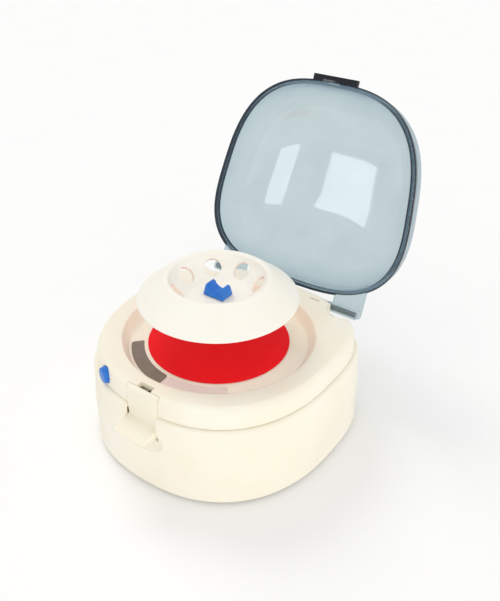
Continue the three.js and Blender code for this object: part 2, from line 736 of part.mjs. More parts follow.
piece("power_button", "blue", powerButton());
piece("power_switch", "black", powerSwitch());
piece("lid_switch", "black", block(24.8, 33.4, 62.6, 68.6, 55.4, 64.8));
piece("circuit_board", "board", circuitBoard());
piece("power_inlet", "black", powerInlet());
const leads = {
  motor_lead: [[2, 27.5, 12.9], [3, 22, 14], [8, 12, 12], [10.4, 4, 13], [10.4, 2, 17], [10.4, 2, 19.4]],
  inlet_lead: [[0, 61.3, 18], [0, 59.4, 17.8], [-4, 57, 15], [-8, 52, 13]],
  lid_switch_lead: [[29, 65, 54.8], [29, 64, 46], [26, 58, 26], [23, 55, 15], [21, 51, 12.9]],
  power_switch_lead: [[-29.4, -59.4, 55.4], [-29.6, -58, 48], [-29, -38, 30], [-33, -5, 13], [-31.8, 36, 11]],
};
for (const [name, points] of Object.entries(leads)) piece(name, "black", cable(1, points));

for (const [place, x, y] of FEET) {
  piece(`foot_${place}`, "rubber", foot(x, y));
  piece(`housing_screw_${place}`, "steel", housingScrew(...screwPlace(x, y)));
}

export default model;
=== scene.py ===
"""Looks for a mini laboratory centrifuge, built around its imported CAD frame.

Lengths here are millimetres until new_object() turns them into the frame's metres. The origin is
on the rotor axis at the housing's flat underside, -Y is the front, and the lid stands open at rest.
"""

import json
import math

import bmesh
import bpy
import numpy as np
from mathutils import Matrix, Vector


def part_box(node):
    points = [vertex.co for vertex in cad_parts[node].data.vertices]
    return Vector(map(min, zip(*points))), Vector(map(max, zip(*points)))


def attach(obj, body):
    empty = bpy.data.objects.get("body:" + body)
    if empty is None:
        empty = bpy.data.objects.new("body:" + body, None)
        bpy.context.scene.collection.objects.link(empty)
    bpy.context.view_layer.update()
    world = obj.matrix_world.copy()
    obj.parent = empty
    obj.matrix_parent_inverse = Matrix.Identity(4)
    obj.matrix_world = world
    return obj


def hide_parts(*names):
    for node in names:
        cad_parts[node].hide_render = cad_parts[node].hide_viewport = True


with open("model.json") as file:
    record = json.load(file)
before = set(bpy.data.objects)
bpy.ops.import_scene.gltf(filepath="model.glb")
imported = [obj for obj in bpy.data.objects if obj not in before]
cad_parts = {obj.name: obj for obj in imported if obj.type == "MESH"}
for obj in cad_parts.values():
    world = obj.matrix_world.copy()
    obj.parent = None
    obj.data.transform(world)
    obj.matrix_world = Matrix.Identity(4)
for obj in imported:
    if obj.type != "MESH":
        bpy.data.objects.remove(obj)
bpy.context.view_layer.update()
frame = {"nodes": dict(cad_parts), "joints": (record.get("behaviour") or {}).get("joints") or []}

MM = 0.001
GAP = 0.3  # clearance between fixed neighbours
WALL = 2.5  # moulded wall thickness
RING = 240  # points round each large outline
CORNER_STEPS = 4


# ---- Values worked out from the frame ----

def box(node):
    """The lowest and highest corners of a CAD node, in millimetres."""
    low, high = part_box(node)
    return np.array(low) / MM, np.array(high) / MM


def middle(node):
    low, high = box(node)
    return (low + high) / 2


def joint(name):
    return next(found for found in frame["joints"] if found["name"] == name)


# Plan outlines: half sizes from a centre on the Y axis, with a squareness power for each half.
BODY = dict(side=74.2, front=80.9, rear=66.5, centre=8.8, front_power=2.35, rear_power=3.1)
SEAT = dict(side=70.7, front=76.9, rear=63.5, centre=8.8, front_power=2.28, rear_power=2.6)
LID = dict(side=72.8, front=68.0, rear=68.0, centre=0.2, front_power=2.89, rear_power=2.89, taper=0.116)

TABLE = box("foot_front_left")[0][2]
PARTING = box("lower_housing")[1][2] + GAP / 2
SEAT_HEIGHT = box("upper_housing")[1][2]
SHOULDER = SEAT_HEIGHT - 7.1
UNDER_DECK = SEAT_HEIGHT - 2.9
DISC_RADIUS = box("chamber_disc")[1][0]
DISC_BASE = box("chamber_disc")[0][2]
CHAMBER_RIM = 59.7
CHAMBER_RIM_HEIGHT = SEAT_HEIGHT - 0.8
CHAMBER_FLOOR = 55.6
CHAMBER_FLOOR_HEIGHT = DISC_BASE - 1.9

HOOD_HIGH = box("rotor_hood")[1]
TUBE_COUNT = 8
TUBE_CIRCLE = 24.5
TUBE_RADIUS = 5.6
TUBE_HEIGHT = HOOD_HIGH[2] - 8.6
TUBE_TILT = math.radians(45)

HINGE = np.array(joint("lid_hinge")["pos_m"]) / MM
LID_OPENING = math.radians(110.3)
LID_PLANE = SEAT_HEIGHT + GAP
FLANGE = 3.0
ARM_NEAR, ARM_FAR = 36.2, 57.3  # where the lid's arms start and end along X
KNUCKLE = 3.1  # radius of the hinge knuckles and of the arms' eyes
HOOK_HALF, HOOK_FRONT, HOOK_THICKNESS = 4.0, -67.6, 1.6
HOOK_FOOT = SEAT_HEIGHT - 8.4
DOME_RISE = 43.0
DOME_INSET = 1.0
DOME_WALL = 2.2

LATCH_LOW, LATCH_HIGH = box("latch_lever")
LATCH_HALF = LATCH_HIGH[0]
LATCH_SLIT = 0.4
LATCH_BACK = -69.4
LATCH_PIVOT = np.array(joint("latch_press")["pos_m"]) / MM
BUTTON_PUSH = Vector(joint("button_press")["axis"]).normalized()
BUTTON_DEPTH, BUTTON_PROUD = 4.2, 2.6


def button_spot():
    """Where the button's axis meets the wall, found from the sharp inner rim of its CAD box."""
    low, high = box("power_button")
    radius = (high[2] - low[2]) / 2
    x = high[0] - BUTTON_PUSH.x * BUTTON_DEPTH - BUTTON_PUSH.y * radius
    y = high[1] - BUTTON_PUSH.y * BUTTON_DEPTH - BUTTON_PUSH.x * radius
    return Vector((x, y, (low[2] + high[2]) / 2))


BUTTON_SPOT = button_spot()


# ---- Mesh building ----

def outline(plan, grow=0.0, scale=1.0):
    """The points of a plan outline, pushed out by grow and scaled about its centre."""
    angle = np.linspace(0, 2 * np.pi, RING, endpoint=False)
    c, s = np.cos(angle), np.sin(angle)
    depth = np.where(s < 0, plan["front"], plan["rear"])
    power = np.where(s < 0, plan["front_power"], plan["rear_power"])
    reach = (np.abs(c / plan["side"]) ** power + np.abs(s / depth) ** power) ** (-1 / power)
    radius = (reach + grow) * scale
    spread = 1 + plan.get("taper", 0.0) * radius * s / depth
    return np.column_stack([radius * c * spread, plan["centre"] + radius * s])


def ring(plan, grow, height, scale=1.0):
    return np.column_stack([outline(plan, grow, scale), np.full(RING, height)])


def circle(radius, height, count=RING):
    angle = np.linspace(0, 2 * np.pi, count, endpoint=False)
    return np.column_stack([radius * np.cos(angle), radius * np.sin(angle), np.full(count, height)])


def round_over(low, high, steps=12):
    """Rings along a quarter ellipse that rounds from one ring over to a higher, smaller one."""
    angles = np.linspace(0, np.pi / 2, steps + 1)[1:]
    weights = [np.array([1 - math.cos(a), 1 - math.cos(a), math.sin(a)]) for a in angles]
    return [low + (high - low) * weight for weight in weights]


def curve_through(rings, steps=5):
    """Catmull-Rom rings through a stack of rings, both ends included."""
    ends = [2 * rings[0] - rings[1], *rings, 2 * rings[-1] - rings[-2]]
    made = []
    for before, here, after, beyond in zip(ends, ends[1:], ends[2:], ends[3:]):
        for t in np.linspace(0, 1, steps, endpoint=False):
            pull = (after - before) * t + (2 * before - 5 * here + 4 * after - beyond) * t * t
            twist = (3 * here - before - 3 * after + beyond) * t ** 3
            made.append(here + (pull + twist) / 2)
    return [*made, rings[-1]]


def soften(stack, reaches, steps=CORNER_STEPS, loop=True):
    """Rounds the corners of a stack of rings or points; a corner's rounding starts reach away from it."""
    stack = [np.asarray(level, float) for level in stack]
    made = []
    for i, (here, reach) in enumerate(zip(stack, reaches)):
        at_end = not loop and i in (0, len(stack) - 1)
        if reach == 0 or at_end:
            made.append(here)
            continue
        arms = []
        for other in (stack[i - 1], stack[(i + 1) % len(stack)]):
            arm = other - here
            length = np.linalg.norm(arm, axis=-1, keepdims=True)
            arms.append(arm * np.minimum(reach / np.maximum(length, 1e-9), 0.49))
        for t in np.linspace(0, 1, steps + 1):
            made.append(here + arms[0] * (1 - t) ** 2 + arms[1] * t * t)
    return made


def skin(rings, loop=False):
    """Points and faces of a skin over a stack of rings, capped unless the stack is a loop."""
    count = len(rings[0])
    faces = []
    for j in range(len(rings) if loop else len(rings) - 1):
        low, high = j * count, (j + 1) % len(rings) * count
        for i in range(count):
            after = (i + 1) % count
            faces.append((low + i, low + after, high + after, high + i))
    if not loop:
        last = (len(rings) - 1) * count
        faces.append(tuple(reversed(range(count))))
        faces.append(tuple(range(last, last + count)))
    return np.concatenate(rings), faces


def turned(profile, segments=96, reach=0.0):
    """A turned solid; its profile of (radius, height) closes on itself or starts and ends on the axis."""
    loop = min(radius for radius, _ in profile) > 0
    if reach:
        profile = soften(profile, [reach] * len(profile), 3, loop)
    return skin([circle(radius, height, segments) for radius, height in profile], loop)


def slab(profile, x0, x1):
    """A slab with a (y, z) profile, running along X."""
    count = len(profile)
    points = [(x, y, z) for x in (x0, x1) for y, z in profile]
    sides = [(i, (i + 1) % count, (i + 1) % count + count, i + count) for i in range(count)]
    return np.array(points, float), [*sides, tuple(range(count)), tuple(range(count, 2 * count))]


def block(x0, x1, y0, y1, z0, z1):
    return slab([(y0, z0), (y1, z0), (y1, z1), (y0, z1)], x0, x1)


def arc(y, z, radius_y, radius_z, start, end, steps):
    angles = np.linspace(start, end, steps + 1)
    return [(y + radius_y * math.cos(a), z + radius_z * math.sin(a)) for a in angles]


def moved(shape, matrix):
    points, faces = shape
    turn = np.array(matrix)
    return points @ turn[:3, :3].T + turn[:3, 3], faces


def facing(direction, spot):
    """A matrix that carries +Z to a direction and the origin to a spot."""
    turn = Vector(direction).to_track_quat("Z", "Y").to_matrix().to_4x4()
    return Matrix.Translation(Vector(spot)) @ turn


def rod(radius, start, end, segments=48, chamfer=0.0):
    """A round bar between two points, chamfered at its ends."""
    start, end = Vector(start), Vector(end)
    length = (end - start).length
    edge = radius - chamfer
    side = [(radius, chamfer), (radius, length - chamfer)] if chamfer else [(radius, 0), (radius, length)]
    tips = [(edge, 0)] * bool(chamfer), [(edge, length)] * bool(chamfer)
    profile = [(0, 0), *tips[0], *side, *tips[1], (0, length)]
    return moved(turned(profile, segments), facing(end - start, start))


# ---- Objects ----

def new_object(name, shape):
    points, faces = shape
    mesh = bpy.data.meshes.new(name)
    mesh.from_pydata((np.asarray(points) * MM).tolist(), [], faces)
    weld = bmesh.new()
    weld.from_mesh(mesh)
    bmesh.ops.remove_doubles(weld, verts=weld.verts, dist=1e-6)
    bmesh.ops.dissolve_degenerate(weld, edges=weld.edges, dist=1e-7)
    bmesh.ops.recalc_face_normals(weld, faces=weld.faces)
    weld.to_mesh(mesh)
    weld.free()
    made = bpy.data.objects.new(name, mesh)
    bpy.context.scene.collection.objects.link(made)
    return made


def apply_modifiers(target):
    """Makes the result of a piece's modifiers its own mesh."""
    view = bpy.context.evaluated_depsgraph_get()
    mesh = bpy.data.meshes.new_from_object(target.evaluated_get(view), depsgraph=view)
    old = target.data
    target.modifiers.clear()
    target.data = mesh
    bpy.data.meshes.remove(old)


def combine(target, shapes, operation="DIFFERENCE"):
    """Cuts shapes out of a piece, joins them to it or keeps what they share."""
    tools = [shape if isinstance(shape, bpy.types.Object) else new_object("tool", shape) for shape in shapes]
    for tool in tools:
        change = target.modifiers.new("shape", "BOOLEAN")
        change.operation = operation
        change.solver = "EXACT"
        change.object = tool
    apply_modifiers(target)
    for tool in tools:
        bpy.data.objects.remove(tool)
    return target


def round_edges(target, width, segments=2, angle=40):
    """Rounds every edge that is sharper than an angle, in degrees."""
    change = target.modifiers.new("edges", "BEVEL")
    change.width = width * MM
    change.segments = segments
    change.limit_method = "ANGLE"
    change.angle_limit = math.radians(angle)
    change.use_clamp_overlap = True
    apply_modifiers(target)
    return target


def smooth(target, angle=32):
    mesh = target.data
    mesh.polygons.foreach_set("use_smooth", [True] * len(mesh.polygons))
    mesh.set_sharp_from_angle(angle=math.radians(angle))


def dress(target, name, looks, body, slot, *nodes):
    """Names a piece, gives it its materials, ties it to its CAD body and hides the CAD nodes it stands for.
    """
    target.name = name
    target.data.name = name
    looks = looks if isinstance(looks, list) else [looks]
    if len(target.data.materials) != len(looks):
        target.data.materials.clear()
        for look in looks:
            target.data.materials.append(look)
    for i, look in enumerate(looks):
        target.data.materials[i] = look
    smooth(target)
    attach(target, body)
    if nodes:
        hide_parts(*nodes)
    return target


# ---- Materials ----

def colour(code):
    """A linear colour from a six-digit screen colour."""
    channels = [int(code[i:i + 2], 16) / 255 for i in (0, 2, 4)]
    return (*[c / 12.92 if c <= 0.04045 else ((c + 0.055) / 1.055) ** 2.4 for c in channels], 1.0)


class Tree:
    """A material's node tree, built by calls; an input is a value or another node's output."""

    def __init__(self, name):
        self.material = bpy.data.materials.new(name)
        self.material.use_nodes = True
        self.material.node_tree.nodes.clear()

    def add(self, kind, inputs=None, **settings):
        made = self.material.node_tree.nodes.new("ShaderNode" + kind)
        for key, value in settings.items():
            setattr(made, key, value)
        for key, value in (inputs or {}).items():
            if isinstance(value, bpy.types.NodeSocket):
                self.material.node_tree.links.new(value, made.inputs[key])
            else:
                made.inputs[key].default_value = value
        return made

    def place(self, stretch=(1, 1, 1)):
        """Object coordinates in millimetres, stretched along each axis."""
        spot = self.add("TexCoord").outputs["Object"]
        scale = [1 / MM * s for s in stretch]
        return self.add("Mapping", {"Vector": spot, "Scale": scale}).outputs["Vector"]

    def noise(self, size, detail=3.0, stretch=(1, 1, 1), roughness=0.5):
        """Noise with features of about the given size in millimetres."""
        inputs = {"Vector": self.place(stretch), "Scale": 1 / size, "Detail": detail, "Roughness": roughness}
        return self.add("TexNoise", inputs).outputs["Fac"]

    def blend(self, factor, a, b):
        mixed = self.add("Mix", data_type="RGBA")
        for key, value in ((0, factor), (6, a), (7, b)):
            if isinstance(value, bpy.types.NodeSocket):
                self.material.node_tree.links.new(value, mixed.inputs[key])
            else:
                mixed.inputs[key].default_value = value
        return mixed.outputs[2]

    def span(self, value, low, high, start=0.3, stop=0.7):
        """Spreads a 0 to 1 value over a range."""
        inputs = {"Value": value, "From Min": start, "From Max": stop, "To Min": low, "To Max": high}
        return self.add("MapRange", inputs).outputs["Result"]

    def bump(self, height, strength, distance, normal=None):
        inputs = {"Height": height, "Strength": strength, "Distance": distance * MM}
        if normal is not None:
            inputs["Normal"] = normal
        return self.add("Bump", inputs).outputs["Normal"]

    def finish(self, shader):
        self.add("OutputMaterial", {"Surface": shader})
        return self.material


def moulded(name, light, dark, roughness, grain=0.35, depth=0.012, subsurface=0.0, edge=0.35, shine=0.5):
    """Injection-moulded plastic: a fine eroded grain, faint flow marks and softened edges."""
    tree = Tree(name)
    cloud = tree.span(tree.noise(38, 2), 0, 1)
    tint = tree.blend(cloud, colour(light), colour(dark))
    fine = tree.noise(grain, 2)
    rough = tree.span(tree.noise(9, 4), roughness - 0.05, roughness + 0.06)
    rounded = tree.add("Bevel", {"Radius": edge * MM}, samples=4).outputs["Normal"]
    flow = tree.bump(tree.noise(16, 2), 0.25, 0.05, rounded)
    normal = tree.bump(fine, 0.35, depth, flow)
    inputs = {
        "Base Color": tint,
        "Roughness": rough,
        "Normal": normal,
        "Specular IOR Level": shine,
        "IOR": 1.5,
        "Subsurface Weight": subsurface,
        "Subsurface Radius": (1.0, 0.62, 0.4),
        "Subsurface Scale": 1.6 * MM,
    }
    return tree.finish(tree.add("BsdfPrincipled", inputs).outputs["BSDF"])


def metal(name, light, dark, roughness, stretch):
    """Turned or brushed metal, with fine lines along one direction."""
    tree = Tree(name)
    lines = tree.noise(0.5, 5, stretch)
    tint = tree.blend(lines, colour(light), colour(dark))
    inputs = {
        "Base Color": tint,
        "Metallic": 1.0,
        "Roughness": tree.span(lines, roughness - 0.06, roughness + 0.1),
        "Normal": tree.bump(lines, 0.3, 0.01),
    }
    return tree.finish(tree.add("BsdfPrincipled", inputs).outputs["BSDF"])


def rubber(name):
    tree = Tree(name)
    dust = tree.span(tree.noise(5, 5), 0, 1)
    inputs = {
        "Base Color": tree.blend(dust, colour("1d1d1f"), colour("2c2b2b")),
        "Roughness": tree.span(tree.noise(2, 3), 0.72, 0.88),
        "Normal": tree.bump(tree.noise(0.25, 3), 0.5, 0.03),
    }
    return tree.finish(tree.add("BsdfPrincipled", inputs).outputs["BSDF"])


def circuit(name):
    """Green solder mask over fine copper tracks."""
    tree = Tree(name)
    tracks = tree.add("TexBrick", {"Vector": tree.place(), "Scale": 0.22, "Mortar Size": 0.03}).outputs["Fac"]
    mask = tree.blend(tracks, colour("14532d"), colour("2f7d45"))
    inputs = {
        "Base Color": mask,
        "Roughness": tree.span(tree.noise(3, 3), 0.3, 0.42),
        "Normal": tree.bump(tracks, 0.4, 0.04),
    }
    return tree.finish(tree.add("BsdfPrincipled", inputs).outputs["BSDF"])


def film(name, base, worn):
    """A printed film label, slightly uneven in tone."""
    tree = Tree(name)
    tone = tree.span(tree.noise(6, 4), 0, 1)
    inputs = {
        "Base Color": tree.blend(tone, colour(base), colour(worn)),
        "Roughness": tree.span(tree.noise(4, 3), 0.34, 0.46),
        "Normal": tree.bump(tree.noise(0.3, 2), 0.2, 0.01),
    }
    return tree.finish(tree.add("BsdfPrincipled", inputs).outputs["BSDF"])


def clear(name, face_on, edge_on, haze, gloss=0.03):
    """Smoked clear plastic: light passes through it, tinted more where the sheet is seen edge-on."""
    tree = Tree(name)
    slant = tree.add("LayerWeight", {"Blend": 0.5}).outputs["Facing"]
    steep = tree.add("Math", {0: slant, 1: 3.0}, operation="POWER").outputs["Value"]
    cloud = tree.span(tree.noise(24, 3), 0.0, 0.08)
    amount = tree.add("Math", {0: steep, 1: cloud}, operation="ADD").outputs["Value"]
    tint = tree.blend(amount, colour(face_on), colour(edge_on))
    through = tree.add("BsdfTransparent", {"Color": tint}).outputs["BSDF"]
    dull = tree.add("BsdfDiffuse", {"Color": colour(haze), "Roughness": 0.6}).outputs["BSDF"]
    body = tree.add("MixShader", {0: 0.07, 1: through, 2: dull}).outputs["Shader"]
    ripple = tree.bump(tree.noise(30, 2), 0.15, 0.35)
    rough = tree.span(tree.noise(12, 3), gloss, gloss + 0.03)
    gloss_inputs = {"Color": (1, 1, 1, 1), "Roughness": rough, "Normal": ripple}
    shine = tree.add("BsdfGlossy", gloss_inputs).outputs["BSDF"]
    grazing = tree.add("Math", {0: slant, 1: 5.0}, operation="POWER").outputs["Value"]
    bounce = tree.span(grazing, 0.035, 0.6, 0.0, 1.0)
    return tree.finish(tree.add("MixShader", {0: bounce, 1: body, 2: shine}).outputs["Shader"])


CREAM = moulded("cream_plastic", "faf5e6", "f7f0dc", 0.4, subsurface=0.06)
HOOD = moulded("rotor_plastic", "faf7ee", "f8f4e8", 0.46, depth=0.006, subsurface=0.1)
RED = moulded("red_plastic", "f5101c", "ee0c18", 0.6, depth=0.008, shine=0.2)
BLUE = moulded("blue_plastic", "1f78d8", "196ecb", 0.34, depth=0.006, edge=0.25)
BLACK = moulded("black_plastic", "17181a", "222326", 0.45)
STEEL = metal("brushed_steel", "b4b6b9", "8c8f93", 0.3, (0.15, 1, 1))
TURNED = metal("turned_steel", "bfc1c4", "96999d", 0.24, (1, 1, 0.1))
RUBBER = rubber("foot_rubber")
BOARD = circuit("solder_mask")
TAUPE = film("label_taupe", "84776c", "7a6d62")
PALE = film("label_pale", "f1e3de", "ecdcd6")
CLEAR = clear("smoked_clear", "e4ecee", "a0b6c1", "d2dfe4")
CLEAR_FACE = clear("smoked_flange_face", "8c9ea9", "3a4a57", "70828e")
CLEAR_EDGE = clear("smoked_flange_edge", "3c4a58", "0c1420", "1a222c")


# ---- Housing ----

def body_ring(grow, height):
    return ring(BODY, grow, height)


def upper_wall():
    shoulder = body_ring(0.2, SHOULDER)
    ridge = ring(SEAT, 0, SEAT_HEIGHT)
    return [body_ring(0.4, PARTING + GAP / 2), shoulder, *round_over(shoulder, ridge, 16)]


def lower_wall():
    crease = body_ring(4.6, 26.6)
    chest = body_ring(3.1, PARTING - 3.4)
    foot = soften(
        [body_ring(4, 0), body_ring(5, 1), body_ring(4.8, 5), body_ring(4.3, 16)],
        [0, 0.8, 2, 0],
        loop=False,
    )
    flank = curve_through([crease, body_ring(3.9, 36), chest], 8)
    return [*foot, *flank, *round_over(chest, body_ring(0.7, PARTING - GAP / 2), 10)]


def side_block(side, near, far, *rest):
    x0, x1 = sorted((side * near, side * far))
    return block(x0, x1, *rest)


def latch_opening():
    """The latch's opening with its slits, the room behind it, and the slot for the lid's hook."""
    half = LATCH_HALF + LATCH_SLIT
    slot = HOOK_HALF + 1
    return [
        block(-half, half, -100, LATCH_BACK + GAP, 35, 88),
        block(-half, half, -70, -65, 35, 59),
        block(-slot, slot, -70, HOOK_FRONT + HOOK_THICKNESS + 0.6, 58, 88),
    ]


def button_hole():
    inside, outside = BUTTON_SPOT + BUTTON_PUSH * 7, BUTTON_SPOT - BUTTON_PUSH * 12
    return rod(middle_radius("power_button") + 0.4, inside, outside)


def middle_radius(node):
    """Half the height of a piece that lies on its side, such as a button or pin."""
    low, high = box(node)
    return (high[2] - low[2]) / 2


def screw_places():
    places = [name for name in frame["nodes"] if name.startswith("housing_screw")]
    return [middle(name) for name in sorted(places)]


def chamber_stack():
    """Rings down from the seat ridge into the chamber, under its floor and back along the inside wall."""
    under = DISC_BASE - GAP
    stack = [
        (circle(CHAMBER_RIM + 0.6, CHAMBER_RIM_HEIGHT + 0.7), 1.6),
        (circle(CHAMBER_RIM, CHAMBER_RIM_HEIGHT), 0.3),
        (circle(CHAMBER_FLOOR + 0.6, CHAMBER_FLOOR_HEIGHT + 0.8), 0.5),
        (circle(CHAMBER_FLOOR - 0.4, CHAMBER_FLOOR_HEIGHT), 0.8),
        (circle(DISC_RADIUS + 1, under), 0.4),
        (circle(11, under), 0.4),
        (circle(11, under - WALL), 0),
        (circle(DISC_RADIUS + 1.4, under - WALL), 0),
        (circle(CHAMBER_FLOOR + 0.6, CHAMBER_FLOOR_HEIGHT - WALL), 0),
        (circle(CHAMBER_FLOOR + 3, CHAMBER_FLOOR_HEIGHT - 0.6), 0),
        (circle(CHAMBER_RIM + 2.6, UNDER_DECK), 0),
        (body_ring(-3.4, UNDER_DECK), 0),
        (body_ring(0.2 - WALL, SHOULDER), 0),
        (body_ring(0.4 - WALL, PARTING + GAP / 2), 0),
    ]
    return [level for level, _ in stack], [reach for _, reach in stack]


def upper_housing():
    levels, reaches = chamber_stack()
    wall = upper_wall()
    stack = soften([*wall, *levels], [0.35] + [0] * (len(wall) - 2) + [1.4] + reaches)
    shell = new_object("shell", skin(stack, loop=True))
    half = LATCH_HALF + LATCH_SLIT
    blocks = []
    knuckle_end = ARM_NEAR - 0.6
    foot = PARTING + GAP / 2 + 0.1
    for side in (-1, 1):
        blocks.append(side_block(side, 24, knuckle_end, 69.2, 90, foot, 65))
        blocks.append(side_block(side, 34.4, 66, 53.6, 90, foot, 65))
        blocks.append(side_block(side, half + 0.5, 17.4, -69.6, -60.4, 53, 58.6))
    # The envelope stays inside the wall, so a clipped block never shares a face with the shell.
    core = body_ring(-0.8, SHOULDER)
    core_top = ring(SEAT, -0.8, SEAT_HEIGHT - 0.8)
    inside = new_object("inside", skin([body_ring(-0.8, PARTING - 3), core, *round_over(core, core_top, 8)]))
    clipped = []
    for shape in blocks:
        envelope = inside.copy()
        bpy.context.scene.collection.objects.link(envelope)
        clipped.append(combine(new_object("block", shape), [envelope], "INTERSECT"))
    bpy.data.objects.remove(inside)
    pillars = []
    for x, y, _ in screw_places():
        top = CHAMBER_FLOOR_HEIGHT - 1 if math.hypot(x, y) < CHAMBER_FLOOR else UNDER_DECK + 0.5
        pillars.append(rod(4.2, (x, y, 6.4), (x, y, top)))
    _, y, z = HINGE
    knuckles = [rod(KNUCKLE, (side * 24, y, z), (side * knuckle_end, y, z), 48, 0.4) for side in (-1, 1)]
    combine(shell, [*clipped, *pillars, *knuckles], "UNION")
    openings = [
        *latch_opening(),
        rod(1.5, (-16.6, LATCH_PIVOT[1], LATCH_PIVOT[2]), (16.6, LATCH_PIVOT[1], LATCH_PIVOT[2])),
        button_hole(),
        block(25.5, 32.7, 65.6, 67.1, 56, 88),
    ]
    for side in (-1, 1):
        openings.append(side_block(side, knuckle_end, 90, 68.2, 95, 54.4, 88))
        openings.append(rod(10, (side * 50, 66, 54.4), (side * 50, 66, 88), 64))
        openings.append(rod(1.9, (side * 25.9, HINGE[1], HINGE[2]), (side * 40, HINGE[1], HINGE[2])))
    for x, y, _ in screw_places():
        openings.append(rod(1.9, (x, y, 4), (x, y, 22)))
    combine(shell, openings)
    dress(shell, "upper_housing_shell", CREAM, "housing", "housing", "upper_housing")


def ellipsoid(centre, radii, segments=64):
    angles = np.linspace(-np.pi / 2, np.pi / 2, segments // 2)
    rings = [circle(math.cos(a), math.sin(a), segments) for a in angles]
    points, faces = skin(rings)
    return points * np.array(radii) + np.array(centre), faces


def lower_housing():
    inside = [
        body_ring(0.7 - WALL, PARTING - GAP / 2),
        body_ring(0.6, PARTING - 4.7),
        body_ring(3.9 - WALL, 36),
        body_ring(4.6 - WALL, 26.6),
        body_ring(4.3 - WALL, 10),
        body_ring(0.6, 2.8),
    ]
    wall = lower_wall()
    scoop_centre = (0, -86, 36)
    backing = new_object("backing", ellipsoid(scoop_centre, (28 + WALL, 14 + WALL, 12 + WALL)))
    combine(backing, [skin(wall)], "INTERSECT")
    shell = new_object("shell", skin([*wall, *inside]))
    bosses = [rod(6, (x, y, 2.5), (x, y, 6.1)) for x, y, _ in screw_places()]
    combine(shell, [backing, *bosses], "UNION")
    openings = [*latch_opening(), ellipsoid(scoop_centre, (28, 14, 12)), inlet_opening()]
    for x, y, _ in screw_places():
        openings.append(rod(3.6, (x, y, -2), (x, y, 3.4)))
        openings.append(rod(1.9, (x, y, -2), (x, y, 7)))
    for foot in feet():
        x, y, _ = middle(foot)
        openings.append(rod(2.5, (x, y, -2), (x, y, 4)))
    combine(shell, openings)
    dress(shell, "lower_housing_shell", CREAM, "housing", "housing", "lower_housing")


def inlet_opening():
    low, high = box("power_inlet")
    return block(low[0] - GAP, high[0] + GAP, 70, 95, low[2] - GAP, high[2] + GAP)


def power_inlet():
    """A barrel power socket with a chamfered well and a centre pin."""
    low, high = box("power_inlet")
    centre = middle("power_inlet")
    face = high[1]
    case = new_object("case", block(low[0], high[0], low[1], high[1], low[2], high[2]))
    round_edges(case, 0.5, 3)
    well = turned([(0, 0), (3.1, 0), (3.1, 6.4), (3.9, 7.2), (3.9, 8), (0, 8)], 64)
    outward = facing((0, 1, 0), (centre[0], face - 7, centre[2]))
    combine(case, [moved(well, outward)])
    pin = rod(1, (centre[0], face - 8, centre[2]), (centre[0], face - 1, centre[2]), 24, 0.4)
    combine(case, [pin], "UNION")
    dress(case, "power_socket", BLACK, "housing", "black", "power_inlet")


def feet():
    return sorted(name for name in frame["nodes"] if name.startswith("foot_"))


def make_feet():
    for name in feet():
        low, high = box(name)
        x, y, _ = middle(name)
        radius = (high[0] - low[0]) / 2
        profile = [(0, low[2]), (radius - 2.2, low[2]), (radius - 1.6, low[2] + 0.3), (radius - 0.4, low[2]),
                   (radius, low[2] + 0.6), (radius, -0.2), (2.1, -0.2), (2.1, high[2]), (0, high[2])]
        shape = moved(turned(profile, 64, 0.25), Matrix.Translation((x, y, 0)))
        dress(new_object(name, shape), name + "_pad", RUBBER, "housing", "rubber", name)


def make_housing_screws():
    names = sorted(name for name in frame["nodes"] if name.startswith("housing_screw"))
    for name in names:
        low, high = box(name)
        x, y, _ = middle(name)
        base, tip = low[2], high[2]
        head = [(0, base), (2.5, base), (3.2, base + 0.9), (3.2, base + 2.5), (1.5, base + 2.5)]
        threads = []
        for i in range(14):
            z = base + 3.2 + i * 0.8
            threads += [(1.2, z), (1.5, z + 0.4)]
        profile = [*head, *threads, (1.1, tip - 0.4), (0.4, tip), (0, tip)]
        screw = new_object(name, moved(turned(profile, 48), Matrix.Translation((x, y, 0))))
        cross = [block(x - 1.7, x + 1.7, y - 0.35, y + 0.35, base - 1, base + 1.3),
                 block(x - 0.35, x + 0.35, y - 1.7, y + 1.7, base - 1, base + 1.3)]
        combine(screw, cross)
        dress(screw, name + "_fastener", TURNED, "housing", "steel", name)


# ---- Chamber ----

def chamber_disc():
    low = box("chamber_disc")[0]
    bore = 7.0
    edge = low[2] + 0.7
    crown = low[2] + 3.7
    span = DISC_RADIUS - 0.5 - bore
    top = [(bore + span * f, crown - (crown - edge) * f * f) for f in np.linspace(1, 0, 14)]
    profile = [(DISC_RADIUS, low[2]), (DISC_RADIUS, edge - 0.3), (DISC_RADIUS - 0.2, edge - 0.06), *top,
               (bore, low[2] + 1.7), (30, low[2] + 1.7), (34, low[2])]
    disc = new_object("disc", turned(profile, 160))
    dress(disc, "chamber_disc_top", RED, "housing", "disc_red", "chamber_disc")


